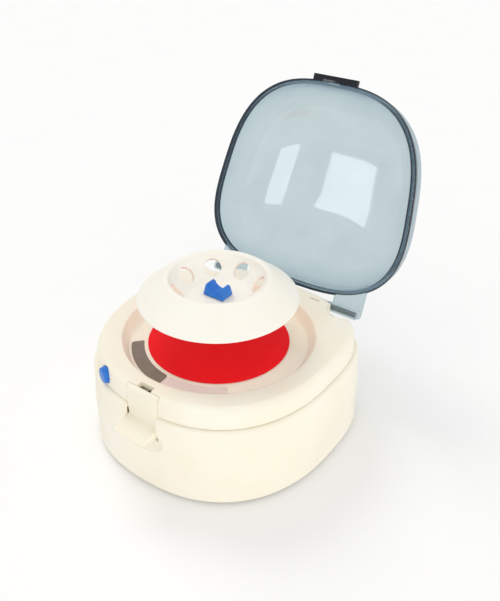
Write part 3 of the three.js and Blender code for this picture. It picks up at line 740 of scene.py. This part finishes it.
def floor_label(node, name, look, slot, start, stop):
    """A thin curved label on the sloping chamber floor, between two angles in degrees."""
    inner = np.array([DISC_RADIUS + 2.4, CHAMBER_FLOOR_HEIGHT + 1.34])
    outer = np.array([CHAMBER_FLOOR - 0.9, CHAMBER_FLOOR_HEIGHT + 0.15])
    lift, thickness = 0.12, 0.22
    angles = np.radians(np.linspace(start, stop, 60))
    corner = 1.0  # how far the film's corners are rounded, in millimetres
    strips = []
    for angle in angles:
        edge = min(angle - angles[0], angles[-1] - angle) * (DISC_RADIUS + 6)
        bite = corner - math.sqrt(max(corner ** 2 - max(corner - edge, 0) ** 2, 0))
        share = bite / (outer - inner)[0]
        a, b = inner + (outer - inner) * share, outer - (outer - inner) * share
        for z in (lift, lift + thickness):
            for r, h in (a, b) if z == lift else (b, a):
                strips.append((r * math.cos(angle), r * math.sin(angle), h + z))
    rings = np.array(strips).reshape(len(angles), 4, 3)
    label = new_object(name, skin(list(rings)))
    dress(label, name, look, "housing", slot, node)


# ---- Drive ----

def rotor_hood():
    rim = HOOD_HIGH[0]
    bowl = box("motor_shaft")[1][2] + 2.6
    crest, crest_height = 31.0, HOOD_HIGH[2]
    rim_height = crest_height - 14.2
    top = [
        ((rim, rim_height - 0.3), 0.25),
        ((rim - 0.1, rim_height + 0.6), 0.6),
        ((rim - 1.5, rim_height + 2.3), 1.2),
        ((crest + 3.6, crest_height - 1.9), 2.4),
        ((crest + 1.6, crest_height - 0.5), 1.0),
        ((crest, crest_height), 0.8),
        ((crest - 1.6, crest_height - 0.6), 0.8),
        ((crest - 2.7, TUBE_HEIGHT + 3.8), 1.6),
        ((TUBE_CIRCLE - 3.8, TUBE_HEIGHT - 3.8), 0.8),
        ((TUBE_CIRCLE - 5.4, bowl + 0.2), 0.9),
        ((TUBE_CIRCLE - 7.5, bowl), 1.0),
        ((3.1, bowl), 0.2),
    ]
    under = [
        ((3.1, bowl - 2.2), 0.2),
        ((TUBE_CIRCLE - 6.8, bowl - 2.2), 1.0),
        ((TUBE_CIRCLE - 4, bowl - 1.7), 1.0),
        ((TUBE_CIRCLE + 6.8, TUBE_HEIGHT + 3.6), 1.0),
        ((crest + 2.6, crest_height - 4.4), 1.0),
        ((rim - 3.2, rim_height + 0.8), 0.6),
        ((rim - 1.6, rim_height - 0.5), 0.4),
    ]
    profile = [*top, *under]
    rounded = soften([point for point, _ in profile], [reach for _, reach in profile], 5)
    hood = new_object("hood", turned(rounded, 192))
    holes = []
    for i in range(TUBE_COUNT):
        turn = Matrix.Rotation(2 * math.pi * i / TUBE_COUNT, 4, "Z")
        spot = Vector((TUBE_CIRCLE, 0, TUBE_HEIGHT))
        axis = Vector((math.sin(TUBE_TILT), 0, -math.cos(TUBE_TILT)))
        holes.append(moved(rod(TUBE_RADIUS, spot - axis * 5, spot + axis * 5), turn))
    combine(hood, holes)
    round_edges(hood, 0.35, 2, 45)
    dress(hood, "rotor_hood_shell", HOOD, "rotor", "rotor", "rotor_hood")


def rotor_hub():
    low, high = box("rotor_hub")
    outer = high[0]
    base, top = low[2], high[2]
    profile = [(2.4, base), (outer - 0.6, base), (outer, base + 0.8), (outer, base + 14.2),
               (outer - 1.8, base + 18.2), (outer - 1.8, top), (2.4, top)]
    hub = new_object("hub", turned(profile, 96, 0.6))
    dress(hub, "rotor_hub_turned", HOOD, "rotor", "rotor", "rotor_hub")


def rotor_knob():
    """A thumb grip over a threaded stem: a tapered bar whose round trough leaves two ears."""
    length, depth, top = box("rotor_knob")[1]
    trough = 5.1
    base = top - 7.1
    end_view = [(-depth, base), (depth, base), (depth - 1, top - 1.2), (depth - 2, top), (2 - depth, top),
                (1 - depth, top - 1.2)]
    front_view = [(-length, base), (length, base), (length - 0.2, base + 1.5), (length - 1.2, top),
                  (1.2 - length, top), (0.2 - length, base + 1.5)]
    knob = new_object("knob", slab(end_view, -length, length))
    quarter_turn = Matrix.Rotation(math.pi / 2, 4, "Z")
    combine(knob, [moved(slab(front_view, -depth, depth), quarter_turn)], "INTERSECT")
    combine(knob, [rod(trough, (0, -15, top), (0, 15, top), 72)])
    round_edges(knob, 0.45, 3, 30)
    stem = [(0, base - 2.4), (2.2, base - 2.4), (2.6, base - 2), (2.6, base + 0.5), (0, base + 0.5)]
    combine(knob, [turned(stem, 48)], "UNION")
    dress(knob, "rotor_knob_grip", BLUE, "knob", "control_blue", "rotor_knob")


# ---- Lid, built closed and turned open ----

TO_HINGE = Matrix.Translation(Vector(HINGE))
OPEN = TO_HINGE @ Matrix.Rotation(-LID_OPENING, 4, "X") @ TO_HINGE.inverted()
CLEAR_INDEX, FACE_INDEX, EDGE_INDEX = 0, 1, 2


def dome(rise, inset, base, steps=30):
    side_power, crown_power = 2.55, 2.7
    rings = []
    for angle in np.linspace(0, np.pi / 2, steps):
        height = base + rise * math.sin(angle) ** (2 / side_power)
        rings.append(ring(LID, -inset, height, max(math.cos(angle), 0) ** (2 / crown_power)))
    return rings


def lid_object(shape, index=CLEAR_INDEX):
    part = new_object("lid_part", shape)
    for look in (CLEAR, CLEAR_FACE, CLEAR_EDGE):
        part.data.materials.append(look)
    part.data.polygons.foreach_set("material_index", [index] * len(part.data.polygons))
    return part


def hinge_arm(x0, x1):
    """A clear arm from the lid's flange back to its hinge eye."""
    _, y, z = HINGE
    front, rear = 50, y + 3.2
    top = LID_PLANE + FLANGE
    eye = arc(y, z, KNUCKLE, KNUCKLE, math.pi, math.pi * 2.18, 24)
    profile = [(front, LID_PLANE), (y - 1.8, LID_PLANE), *eye, (rear, z + 4), (rear, top - 1),
               (rear - 1, top), (front, top)]
    arm = lid_object(slab(profile, x0, x1))
    bore = rod(middle_radius("hinge_pin_left") + 0.4, (x0 - 1, y, z), (x1 + 1, y, z))
    return combine(arm, [bore])


def lid():
    top = LID_PLANE + FLANGE
    inner = DOME_INSET + DOME_WALL
    outside = list(reversed(dome(DOME_RISE, DOME_INSET, top)))
    edge = [
        ring(LID, -DOME_INSET, top),
        ring(LID, 0, top),
        ring(LID, 0, LID_PLANE),
        ring(LID, -inner, LID_PLANE),
    ]
    flange = soften(edge, [0, 0.5, 0.5, 0], loop=False)
    inside = dome(DOME_RISE - DOME_WALL, inner, top)
    stack = [*outside, *flange[1:], *inside]
    shell = lid_object(skin(stack))
    paint_flange(shell)
    hollow = skin([ring(LID, -inner, LID_PLANE - 20), *inside])
    parts = []
    for x0, x1 in ((-ARM_FAR, -ARM_NEAR), (ARM_NEAR, ARM_FAR)):
        parts.append(combine(hinge_arm(x0, x1), [hollow]))
    lip = lid_object(block(-16, 16, -71.2, -60, LID_PLANE, top), EDGE_INDEX)
    parts.append(combine(lip, [hollow]))
    parts.append(lid_object(hook_shape(), CLEAR_INDEX))
    combine(shell, parts, "UNION")
    shell.data.transform(scaled(OPEN))
    dress(shell, "lid_clear_shell", [CLEAR, CLEAR_FACE, CLEAR_EDGE], "lid", "lid_clear", "lid")


def scaled(matrix):
    """The same matrix with its shift in metres."""
    made = matrix.copy()
    made.translation = made.translation * MM
    return made


def hook_shape():
    front, back, foot = HOOK_FRONT, HOOK_FRONT + HOOK_THICKNESS, HOOK_FOOT
    profile = [(front, LID_PLANE + 1), (front, foot + 2.2), (front - 0.6, foot + 1.4), (front, foot),
               (back, foot), (back, LID_PLANE + 1)]
    return slab(profile, -HOOK_HALF, HOOK_HALF)


def paint_flange(shell):
    """Gives the flange's sealing face and its rims their own looks."""
    plane, top = LID_PLANE * MM, (LID_PLANE + FLANGE) * MM
    for face in shell.data.polygons:
        height = face.center.z
        if height < plane + 0.05 * MM and face.normal.z < -0.9:
            face.material_index = FACE_INDEX
        elif height < top + 0.05 * MM:
            face.material_index = EDGE_INDEX


def hinge_pins():
    for side in ("left", "right"):
        node = f"hinge_pin_{side}"
        low, high = box(node)
        _, y, z = middle(node)
        pin = rod(middle_radius(node), (low[0], y, z), (high[0], y, z), 48, 0.4)
        dress(new_object(node, pin), node + "_rod", STEEL, "housing", "steel", node)


# ---- Latch ----

def latch_lever():
    """A rocker: a plate that carries on the housing's shoulder curve, with a thumb ledge at its foot."""
    back = LATCH_BACK
    ledge_tip = LATCH_LOW[1]
    shoulder = arc(-68.2, SHOULDER, 4.2, 6.8, math.pi, math.pi * 0.592, 12)
    ledge = LATCH_LOW[2] + 6.4
    profile = [(-71.6, ledge), *shoulder, (back, ledge - 6.4), (-71, ledge - 6.4), (-76, ledge - 5.7),
               (ledge_tip + 1, ledge - 4), (ledge_tip, ledge - 3.1), (ledge_tip + 0.3, ledge - 2),
               (-73.2, ledge - 0.5)]
    reaches = [0.8, *[0] * len(shoulder), 0, 1.0, 2.0, 0.8, 0.6, 0.6, 1.2]
    plate = new_object("plate", slab(soften(profile, reaches, 4), -LATCH_HALF, LATCH_HALF))
    nose_tip, reach = HOOK_FRONT - 1, HOOK_HALF - 0.6
    nose = [(back - 1, HOOK_FOOT + 3.4), (back, HOOK_FOOT + 3.4), (nose_tip, HOOK_FOOT + 2.1),
            (nose_tip, HOOK_FOOT + 1.3), (back, HOOK_FOOT - 1), (back - 1, HOOK_FOOT - 1)]
    parts = [slab(nose, -reach, reach)]
    _, y, z = LATCH_PIVOT
    eye = arc(y, z, 2.8, 2.8, math.pi / 2, -math.pi / 2, 16)
    for x0, x1 in ((5, 8.6), (-8.6, -5)):
        parts.append(slab([(back - 1, z + 4), *eye, (back - 1, z - 4)], x0, x1))
    combine(plate, parts, "UNION")
    combine(plate, [rod(middle_radius("latch_pin") + 0.4, (-10, y, z), (10, y, z))])
    round_edges(plate, 0.35, 3, 40)
    dress(plate, "latch_rocker", CREAM, "latch", "housing", "latch_lever")


def latch_pin_and_spring():
    low, high = box("latch_pin")
    _, y, z = middle("latch_pin")
    pin = rod(middle_radius("latch_pin"), (low[0], y, z), (high[0], y, z), 48, 0.3)
    dress(new_object("pin", pin), "latch_pin_rod", STEEL, "housing", "steel", "latch_pin")
    low, high = box("latch_spring")
    length = high[0] - low[0] - 0.7
    turns, coil_radius = 4, 2.25
    path = []
    for t in np.linspace(0, 1, 200):
        angle = 2 * math.pi * turns * t
        across, up = coil_radius * math.cos(angle), coil_radius * math.sin(angle)
        path.append(((t - 0.5) * length, y + across, z + up))
    spring = wire("spring", path, 0.35, 12)
    dress(spring, "latch_spring_coil", STEEL, "housing", "steel", "latch_spring")


def wire(name, path, radius, sides=16):
    """A round wire swept along a path of points."""
    path = np.array(path, float)
    ahead = np.gradient(path, axis=0)
    ahead /= np.linalg.norm(ahead, axis=1, keepdims=True)
    side = np.cross(ahead[0], (0.3, 0.5, 0.8))
    rings = []
    for point, direction in zip(path, ahead):
        side = side - direction * np.dot(side, direction)
        side /= np.linalg.norm(side)
        up = np.cross(direction, side)
        angles = np.linspace(0, 2 * np.pi, sides, endpoint=False)
        rings.append(point + radius * (np.outer(np.cos(angles), side) + np.outer(np.sin(angles), up)))
    return new_object(name, skin(rings))


# ---- Controls ----

def power_button():
    """A domed round push button with a rounded edge, in the housing's front left corner."""
    radius = middle_radius("power_button")
    depth, proud = BUTTON_DEPTH, BUTTON_PROUD
    face = [(radius - 0.9, proud - 0.15), (radius * 0.5, proud), (0, proud)]
    profile = [(0, -depth), (radius, -depth), (radius, proud - 0.9), *face]
    reaches = [0, 0.4, 0.8, 0.6, 0.8, 0]
    shape = turned(soften(profile, reaches, 4, loop=False), 72)
    button = new_object("button", moved(shape, facing(-BUTTON_PUSH, BUTTON_SPOT)))
    dress(button, "power_button_cap", BLUE, "button", "control_blue", "power_button")


def carried_over():
    """Looks for the CAD pieces that stay as they are, inside the housing."""
    looks = {
        "motor": TURNED,
        "motor_bracket": STEEL,
        "motor_shaft": TURNED,
        "power_switch": BLACK,
        "lid_switch": BLACK,
        "circuit_board": BOARD,
    }
    for name, node in frame["nodes"].items():
        look = looks.get(name)
        if name.startswith("motor_mount"):
            look = RUBBER
        elif name.startswith("motor_screw"):
            look = STEEL
        elif name.endswith("_lead"):
            look = BLACK
        if look is None:
            continue
        node.data.materials.clear()
        node.data.materials.append(look)
        smooth(node, 40)


# ---- Setting ----

def make_floor():
    tree = Tree("pale_floor")
    tone = tree.span(tree.noise(60, 4), 0, 1)
    inputs = {
        "Base Color": tree.blend(tone, (0.97, 0.97, 0.97, 1), (0.96, 0.96, 0.962, 1)),
        "Roughness": tree.span(tree.noise(3, 3), 0.85, 0.95),
    }
    look = tree.finish(tree.add("BsdfPrincipled", inputs).outputs["BSDF"])
    half = 4000
    corners = [(x, y, TABLE) for x, y in ((-half, -half), (half, -half), (half, half), (-half, half))]
    floor = new_object("floor", (corners, [(0, 1, 2, 3)]))
    floor.data.materials.append(look)


def soft_sun(name, strength, spread, aim, tint, shadows=True):
    """A soft distant light that shines along a direction."""
    sun = bpy.data.lights.new(name, "SUN")
    sun.energy = strength
    sun.angle = math.radians(spread)
    sun.color = tint
    sun.use_shadow = shadows
    lamp = bpy.data.objects.new(name, sun)
    bpy.context.scene.collection.objects.link(lamp)
    lamp.rotation_euler = Vector(aim).to_track_quat("-Z", "Y").to_euler()
    lamp.visible_glossy = False


def window(name, spot, target, width, height, power):
    """A bright panel that shows only in reflections, such as those in the clear lid."""
    lamp = bpy.data.lights.new(name, "AREA")
    lamp.shape = "RECTANGLE"
    lamp.size = width * MM
    lamp.size_y = height * MM
    lamp.energy = power
    made = bpy.data.objects.new(name, lamp)
    bpy.context.scene.collection.objects.link(made)
    made.location = Vector(spot) * MM
    made.rotation_euler = (Vector(target) - Vector(spot)).to_track_quat("-Z", "Y").to_euler()
    made.visible_diffuse = False
    made.visible_camera = False


def make_lights():
    world = bpy.data.worlds.new("studio")
    world.use_nodes = True
    background = world.node_tree.nodes["Background"]
    background.inputs["Color"].default_value = (1.0, 1.0, 1.0, 1.0)
    background.inputs["Strength"].default_value = 0.76
    bpy.context.scene.world = world
    soft_sun("key", 0.75, 28, (0.6, -0.3, -0.75), (1.0, 0.98, 0.95))
    window("left_window", (110, -560, 290), (0, 100, 120), 300, 240, 0.8)
    window("right_window", (-330, -430, 250), (0, 100, 120), 130, 150, 0.25)
    soft_sun("fill", 0.8, 40, (-0.75, 0.45, -0.35), (1.0, 0.985, 0.95), shadows=False)


def make_camera():
    """The photographer's view: the camera stands up and to the right of the front."""
    azimuth, elevation, roll = math.radians(37.914), math.radians(33.005), math.radians(-1.074)
    distance = 452.7
    target = Vector((0.24, 1.26, 85.9))
    level = math.cos(elevation)
    back = Vector((math.sin(azimuth) * level, -math.cos(azimuth) * level, math.sin(elevation)))
    right = Vector((math.cos(azimuth), math.sin(azimuth), 0))
    up = back.cross(right)
    tilted_right = right * math.cos(roll) + up * math.sin(roll)
    tilted_up = up * math.cos(roll) - right * math.sin(roll)
    lens = bpy.data.cameras.new("camera")
    lens.lens = 44.51
    lens.sensor_width = 36
    lens.shift_x = 0.0504
    lens.shift_y = 0.0051
    lens.clip_start = 0.01
    made = bpy.data.objects.new("camera", lens)
    bpy.context.scene.collection.objects.link(made)
    turn = Matrix((tilted_right, tilted_up, back)).transposed().to_4x4()
    made.matrix_world = Matrix.Translation((target + back * distance) * MM) @ turn
    bpy.context.scene.camera = made
    bpy.context.scene.view_settings.view_transform = "Standard"


# ---- Assembly ----

upper_housing()
lower_housing()
power_inlet()
make_feet()
make_housing_screws()
chamber_disc()
floor_label("floor_label_dark", "floor_label_dark_film", TAUPE, "label_taupe", -143, -92.6)
floor_label("floor_label_pale", "floor_label_pale_film", PALE, "label_pale", -91.6, -47)
rotor_hood()
rotor_hub()
rotor_knob()
lid()
hinge_pins()
latch_lever()
latch_pin_and_spring()
power_button()
carried_over()
make_floor()
make_lights()
make_camera()
